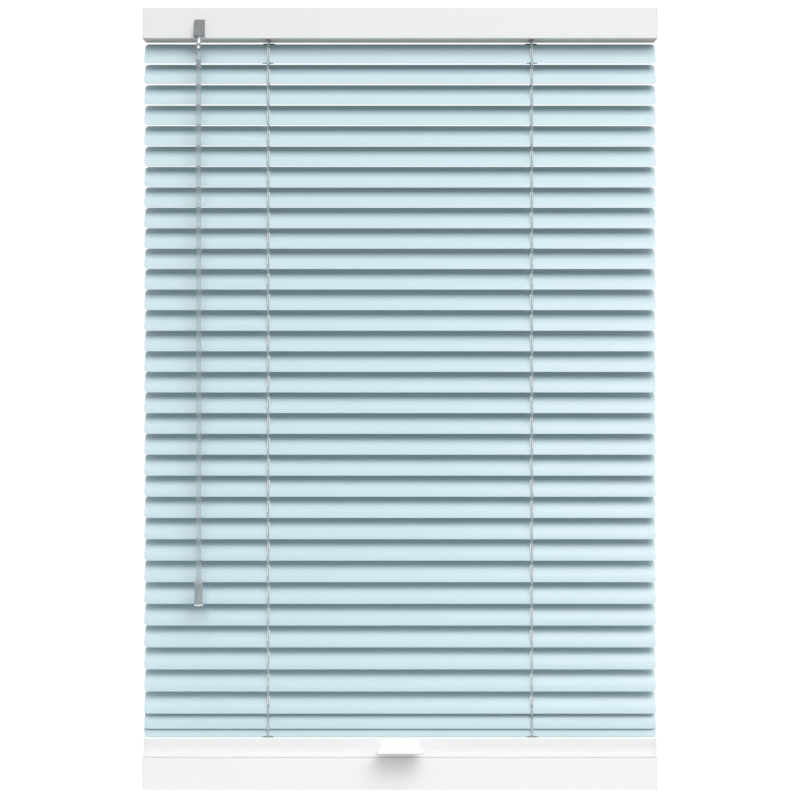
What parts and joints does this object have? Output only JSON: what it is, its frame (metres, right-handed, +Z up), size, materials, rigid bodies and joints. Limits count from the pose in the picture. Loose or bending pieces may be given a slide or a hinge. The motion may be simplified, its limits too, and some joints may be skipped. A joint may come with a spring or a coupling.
{
  "type": "venetian blind",
  "caption": "Cordless venetian blind on tension cords: fixed headrail with tilt wand, curved slats in string ladders, sliding lower rail with a pull tab, fixed bottom profile.",
  "frame": {"origin": "centre of the upper brackets' four screw holes, on the plane they screw to", "axes": "+X to the right seen from the room, +Y to the window, +Z up"},
  "size_m": [0.534, 0.0556, 0.8109],
  "materials": {
    "slat_paint": "satin pale blue paint on aluminium strip",
    "ladder_string": "twisted polyester string",
    "rail_paint": "satin white paint on extruded aluminium",
    "cap_plastic": "satin white",
    "tab_plastic": "satin white",
    "bracket_steel": "zinc plated",
    "inner_plastic": "moulded",
    "gear_plastic": "moulded",
    "rod_steel": "drawn",
    "stem_metal": "plated",
    "link_wire": "drawn",
    "wand_plastic": "clear",
    "grip_plastic": "clear",
    "cover_plastic": "clear",
    "tension_cord": "braided polyester cord",
    "guide_plastic": "moulded"
  },
  "bodies": {
    "blind_frame": {"headrail": "rail_paint", "end_caps": "cap_plastic", "mounting_brackets": "bracket_steel", "bottom_profile": "rail_paint", "tilter_housing": "inner_plastic", "wand_cover": "cover_plastic", "ladder_cradles": "inner_plastic", "tension_cords": "tension_cord", "ladder_top_loops": "ladder_string"},
    "tilt_shaft": {"tilt_rod": "rod_steel", "ladder_drums": "inner_plastic", "worm_wheel": "gear_plastic"},
    "worm": {"worm_stem": "stem_metal"},
    "front_legs": {"ladder_front": "ladder_string"},
    "rear_legs": {"ladder_rear": "ladder_string"},
    "wand_hook": {"wand_link": "link_wire"},
    "wand_rod": {"wand": "wand_plastic", "wand_grip": "grip_plastic"},
    "moving_rail_body": {"moving_rail": "rail_paint", "rail_end_caps": "cap_plastic", "rail_cord_guides": "guide_plastic", "pull_tab": "tab_plastic", "ladder_rail_ends": "ladder_string"},
    "bay_30": {"ladder_bay_30": "ladder_string"},
    "bay_31": {"ladder_bay_31": "ladder_string"},
    "bay_32": {"ladder_bay_32": "ladder_string"},
    "slat_body_01": {"slat_01": "slat_paint"},
    "slat_body_02": {"slat_02": "slat_paint"},
    "slat_body_03": {"slat_03": "slat_paint"},
    "slat_body_04": {"slat_04": "slat_paint"},
    "slat_body_05": {"slat_05": "slat_paint"},
    "slat_body_06": {"slat_06": "slat_paint"},
    "slat_body_07": {"slat_07": "slat_paint"},
    "slat_body_08": {"slat_08": "slat_paint"},
    "slat_body_09": {"slat_09": "slat_paint"},
    "slat_body_10": {"slat_10": "slat_paint"},
    "slat_body_11": {"slat_11": "slat_paint"},
    "slat_body_12": {"slat_12": "slat_paint"},
    "slat_body_13": {"slat_13": "slat_paint"},
    "slat_body_14": {"slat_14": "slat_paint"},
    "slat_body_15": {"slat_15": "slat_paint"},
    "slat_body_16": {"slat_16": "slat_paint"},
    "slat_body_17": {"slat_17": "slat_paint"},
    "slat_body_18": {"slat_18": "slat_paint"},
    "slat_body_19": {"slat_19": "slat_paint"},
    "slat_body_20": {"slat_20": "slat_paint"},
    "slat_body_21": {"slat_21": "slat_paint"},
    "slat_body_22": {"slat_22": "slat_paint"},
    "slat_body_23": {"slat_23": "slat_paint"},
    "slat_body_24": {"slat_24": "slat_paint"},
    "slat_body_25": {"slat_25": "slat_paint"},
    "slat_body_26": {"slat_26": "slat_paint"},
    "slat_body_27": {"slat_27": "slat_paint"},
    "slat_body_28": {"slat_28": "slat_paint"},
    "slat_body_29": {"slat_29": "slat_paint"},
    "slat_body_30": {"slat_30": "slat_paint"},
    "slat_body_31": {"slat_31": "slat_paint"},
    "slat_body_32": {"slat_32": "slat_paint"},
    "slat_body_33": {"slat_33": "slat_paint"},
    "slat_body_34": {"slat_34": "slat_paint"}
  },
  "joints": [
    {"name": "tilt", "type": "hinge", "parent": "blind_frame", "child": "tilt_shaft", "pos_m": [0, -0.0162, -0.0028], "axis": [-1, 0, 0], "range_deg": [0, 200], "deforming": ["ladder_front", "ladder_rear", "ladder_top_loops", "ladder_rail_ends"]},
    {"name": "slat_01_tilt", "type": "hinge", "parent": "blind_frame", "child": "slat_body_01", "pos_m": [0, -0.0162, -0.0297], "axis": [-1, 0, 0], "range_deg": [0, 120]},
    {"name": "slat_02_tilt", "type": "hinge", "parent": "blind_frame", "child": "slat_body_02", "pos_m": [0, -0.0162, -0.05112], "axis": [-1, 0, 0], "range_deg": [0, 120]},
    {"name": "slat_03_tilt", "type": "hinge", "parent": "blind_frame", "child": "slat_body_03", "pos_m": [0, -0.0162, -0.07254], "axis": [-1, 0, 0], "range_deg": [0, 120]},
    {"name": "slat_04_tilt", "type": "hinge", "parent": "blind_frame", "child": "slat_body_04", "pos_m": [0, -0.0162, -0.09396], "axis": [-1, 0, 0], "range_deg": [0, 120]},
    {"name": "slat_05_tilt", "type": "hinge", "parent": "blind_frame", "child": "slat_body_05", "pos_m": [0, -0.0162, -0.11538], "axis": [-1, 0, 0], "range_deg": [0, 120]},
    {"name": "slat_06_tilt", "type": "hinge", "parent": "blind_frame", "child": "slat_body_06", "pos_m": [0, -0.0162, -0.1368], "axis": [-1, 0, 0], "range_deg": [0, 120]},
    {"name": "slat_07_tilt", "type": "hinge", "parent": "blind_frame", "child": "slat_body_07", "pos_m": [0, -0.0162, -0.15822], "axis": [-1, 0, 0], "range_deg": [0, 120]},
    {"name": "slat_08_tilt", "type": "hinge", "parent": "blind_frame", "child": "slat_body_08", "pos_m": [0, -0.0162, -0.17964], "axis": [-1, 0, 0], "range_deg": [0, 120]},
    {"name": "slat_09_tilt", "type": "hinge", "parent": "blind_frame", "child": "slat_body_09", "pos_m": [0, -0.0162, -0.20106], "axis": [-1, 0, 0], "range_deg": [0, 120]},
    {"name": "slat_10_tilt", "type": "hinge", "parent": "blind_frame", "child": "slat_body_10", "pos_m": [0, -0.0162, -0.22248], "axis": [-1, 0, 0], "range_deg": [0, 120]},
    {"name": "slat_11_tilt", "type": "hinge", "parent": "blind_frame", "child": "slat_body_11", "pos_m": [0, -0.0162, -0.2439], "axis": [-1, 0, 0], "range_deg": [0, 120]},
    {"name": "slat_12_tilt", "type": "hinge", "parent": "blind_frame", "child": "slat_body_12", "pos_m": [0, -0.0162, -0.26532], "axis": [-1, 0, 0], "range_deg": [0, 120]},
    {"name": "slat_13_tilt", "type": "hinge", "parent": "blind_frame", "child": "slat_body_13", "pos_m": [0, -0.0162, -0.28674], "axis": [-1, 0, 0], "range_deg": [0, 120]},
    {"name": "slat_14_tilt", "type": "hinge", "parent": "blind_frame", "child": "slat_body_14", "pos_m": [0, -0.0162, -0.30816], "axis": [-1, 0, 0], "range_deg": [0, 120]},
    {"name": "slat_15_tilt", "type": "hinge", "parent": "blind_frame", "child": "slat_body_15", "pos_m": [0, -0.0162, -0.32958], "axis": [-1, 0, 0], "range_deg": [0, 120]},
    {"name": "slat_16_tilt", "type": "hinge", "parent": "blind_frame", "child": "slat_body_16", "pos_m": [0, -0.0162, -0.351], "axis": [-1, 0, 0], "range_deg": [0, 120]},
    {"name": "slat_17_tilt", "type": "hinge", "parent": "blind_frame", "child": "slat_body_17", "pos_m": [0, -0.0162, -0.37242], "axis": [-1, 0, 0], "range_deg": [0, 120]},
    {"name": "slat_18_tilt", "type": "hinge", "parent": "blind_frame", "child": "slat_body_18", "pos_m": [0, -0.0162, -0.3939], "axis": [-1, 0, 0], "range_deg": [0, 120]},
    {"name": "slat_19_tilt", "type": "hinge", "parent": "blind_frame", "child": "slat_body_19", "pos_m": [0, -0.0162, -0.41549], "axis": [-1, 0, 0], "range_deg": [0, 120]},
    {"name": "slat_20_tilt", "type": "hinge", "parent": "blind_frame", "child": "slat_body_20", "pos_m": [0, -0.0162, -0.4372], "axis": [-1, 0, 0], "range_deg": [0, 120]},
    {"name": "slat_21_tilt", "type": "hinge", "parent": "blind_frame", "child": "slat_body_21", "pos_m": [0, -0.0162, -0.45902], "axis": [-1, 0, 0], "range_deg": [0, 120]},
    {"name": "slat_22_tilt", "type": "hinge", "parent": "blind_frame", "child": "slat_body_22", "pos_m": [0, -0.0162, -0.48096], "axis": [-1, 0, 0], "range_deg": [0, 120]},
    {"name": "slat_23_tilt", "type": "hinge", "parent": "blind_frame", "child": "slat_body_23", "pos_m": [0, -0.0162, -0.50302], "axis": [-1, 0, 0], "range_deg": [0, 120]},
    {"name": "slat_24_tilt", "type": "hinge", "parent": "blind_frame", "child": "slat_body_24", "pos_m": [0, -0.0162, -0.52519], "axis": [-1, 0, 0], "range_deg": [0, 120]},
    {"name": "slat_25_tilt", "type": "hinge", "parent": "blind_frame", "child": "slat_body_25", "pos_m": [0, -0.0162, -0.54748], "axis": [-1, 0, 0], "range_deg": [0, 120]},
    {"name": "slat_26_tilt", "type": "hinge", "parent": "blind_frame", "child": "slat_body_26", "pos_m": [0, -0.0162, -0.56988], "axis": [-1, 0, 0], "range_deg": [0, 120]},
    {"name": "slat_27_tilt", "type": "hinge", "parent": "blind_frame", "child": "slat_body_27", "pos_m": [0, -0.0162, -0.5924], "axis": [-1, 0, 0], "range_deg": [0, 120]},
    {"name": "slat_28_tilt", "type": "hinge", "parent": "blind_frame", "child": "slat_body_28", "pos_m": [0, -0.0162, -0.61503], "axis": [-1, 0, 0], "range_deg": [0, 120]},
    {"name": "slat_29_tilt", "type": "hinge", "parent": "blind_frame", "child": "slat_body_29", "pos_m": [0, -0.0162, -0.63778], "axis": [-1, 0, 0], "range_deg": [0, 120]},
    {"name": "slat_30_tilt", "type": "hinge", "parent": "bay_30", "child": "slat_body_30", "pos_m": [0, -0.02334, -0.67262], "axis": [-1, 0, 0], "range_deg": [0, 120]},
    {"name": "slat_31_tilt", "type": "hinge", "parent": "bay_31", "child": "slat_body_31", "pos_m": [0, -0.02334, -0.6956], "axis": [-1, 0, 0], "range_deg": [0, 120]},
    {"name": "slat_32_tilt", "type": "hinge", "parent": "bay_32", "child": "slat_body_32", "pos_m": [0, -0.02334, -0.7187], "axis": [-1, 0, 0], "range_deg": [0, 120]},
    {"name": "slat_33_tilt", "type": "hinge", "parent": "moving_rail_body", "child": "slat_body_33", "pos_m": [0, -0.0162, -0.72242], "axis": [-1, 0, 0], "range_deg": [0, 120]},
    {"name": "slat_34_tilt", "type": "hinge", "parent": "moving_rail_body", "child": "slat_body_34", "pos_m": [0, -0.0162, -0.73052], "axis": [-1, 0, 0], "range_deg": [0, 120]},
    {"name": "front_legs_follow", "type": "hinge", "parent": "slat_body_14", "child": "front_legs", "pos_m": [0, -0.02334, -0.32013], "axis": [-1, 0, 0], "range_deg": [-120, 0]},
    {"name": "rear_legs_follow", "type": "hinge", "parent": "slat_body_15", "child": "rear_legs", "pos_m": [0, -0.0094, -0.31741], "axis": [-1, 0, 0], "range_deg": [-120, 0]},
    {"name": "worm_turn", "type": "hinge", "parent": "blind_frame", "child": "worm", "pos_m": [-0.2076, -0.02382, 0.0016], "axis": [0, -0.5, -0.866], "range_deg": [0, 2400]},
    {"name": "wand_turn", "type": "hinge", "parent": "wand_hook", "child": "wand_rod", "pos_m": [-0.2076, -0.03957, -0.02568], "axis": [0, 0, -1], "range_deg": [0, 2400]},
    {"name": "wand_swing", "type": "hinge", "parent": "blind_frame", "child": "wand_hook", "pos_m": [-0.2076, -0.03957, -0.02568], "axis": [-1, 0, 0], "range_deg": [0, 60]},
    {"name": "raise", "type": "slide", "parent": "blind_frame", "child": "moving_rail_body", "axis": [0, 0, 1], "range_m": [0, 0.0646], "deforming": ["ladder_bay_30", "ladder_bay_31", "ladder_bay_32"]},
    {"name": "bay_30_lift", "type": "slide", "parent": "front_legs", "child": "bay_30", "axis": [0, 0, 1], "range_m": [0, 0.0181]},
    {"name": "bay_31_lift", "type": "slide", "parent": "front_legs", "child": "bay_31", "axis": [0, 0, 1], "range_m": [0, 0.036]},
    {"name": "bay_32_lift", "type": "slide", "parent": "front_legs", "child": "bay_32", "axis": [0, 0, 1], "range_m": [0, 0.0541]}
  ],
  "couplings": [
    {"joint": "slat_01_tilt", "follows": "tilt", "ratio": 0.6},
    {"joint": "slat_02_tilt", "follows": "tilt", "ratio": 0.6},
    {"joint": "slat_03_tilt", "follows": "tilt", "ratio": 0.6},
    {"joint": "slat_04_tilt", "follows": "tilt", "ratio": 0.6},
    {"joint": "slat_05_tilt", "follows": "tilt", "ratio": 0.6},
    {"joint": "slat_06_tilt", "follows": "tilt", "ratio": 0.6},
    {"joint": "slat_07_tilt", "follows": "tilt", "ratio": 0.6},
    {"joint": "slat_08_tilt", "follows": "tilt", "ratio": 0.6},
    {"joint": "slat_09_tilt", "follows": "tilt", "ratio": 0.6},
    {"joint": "slat_10_tilt", "follows": "tilt", "ratio": 0.6},
    {"joint": "slat_11_tilt", "follows": "tilt", "ratio": 0.6},
    {"joint": "slat_12_tilt", "follows": "tilt", "ratio": 0.6},
    {"joint": "slat_13_tilt", "follows": "tilt", "ratio": 0.6},
    {"joint": "slat_14_tilt", "follows": "tilt", "ratio": 0.6},
    {"joint": "slat_15_tilt", "follows": "tilt", "ratio": 0.6},
    {"joint": "slat_16_tilt", "follows": "tilt", "ratio": 0.6},
    {"joint": "slat_17_tilt", "follows": "tilt", "ratio": 0.6},
    {"joint": "slat_18_tilt", "follows": "tilt", "ratio": 0.6},
    {"joint": "slat_19_tilt", "follows": "tilt", "ratio": 0.6},
    {"joint": "slat_20_tilt", "follows": "tilt", "ratio": 0.6},
    {"joint": "slat_21_tilt", "follows": "tilt", "ratio": 0.6},
    {"joint": "slat_22_tilt", "follows": "tilt", "ratio": 0.6},
    {"joint": "slat_23_tilt", "follows": "tilt", "ratio": 0.6},
    {"joint": "slat_24_tilt", "follows": "tilt", "ratio": 0.6},
    {"joint": "slat_25_tilt", "follows": "tilt", "ratio": 0.6},
    {"joint": "slat_26_tilt", "follows": "tilt", "ratio": 0.6},
    {"joint": "slat_27_tilt", "follows": "tilt", "ratio": 0.6},
    {"joint": "slat_28_tilt", "follows": "tilt", "ratio": 0.6},
    {"joint": "slat_29_tilt", "follows": "tilt", "ratio": 0.6},
    {"joint": "slat_30_tilt", "follows": "tilt", "ratio": 0.6},
    {"joint": "slat_31_tilt", "follows": "tilt", "ratio": 0.6},
    {"joint": "slat_32_tilt", "follows": "tilt", "ratio": 0.6},
    {"joint": "slat_33_tilt", "follows": "tilt", "ratio": 0.6},
    {"joint": "slat_34_tilt", "follows": "tilt", "ratio": 0.6},
    {"joint": "front_legs_follow", "follows": "tilt", "ratio": -0.6},
    {"joint": "rear_legs_follow", "follows": "tilt", "ratio": -0.6},
    {"joint": "worm_turn", "follows": "tilt", "ratio": 12},
    {"joint": "wand_turn", "follows": "tilt", "ratio": 12},
    {"joint": "bay_30_lift", "follows": "raise", "ratio": 0.27655},
    {"joint": "bay_31_lift", "follows": "raise", "ratio": 0.55488},
    {"joint": "bay_32_lift", "follows": "raise", "ratio": 0.83501}
  ]
}
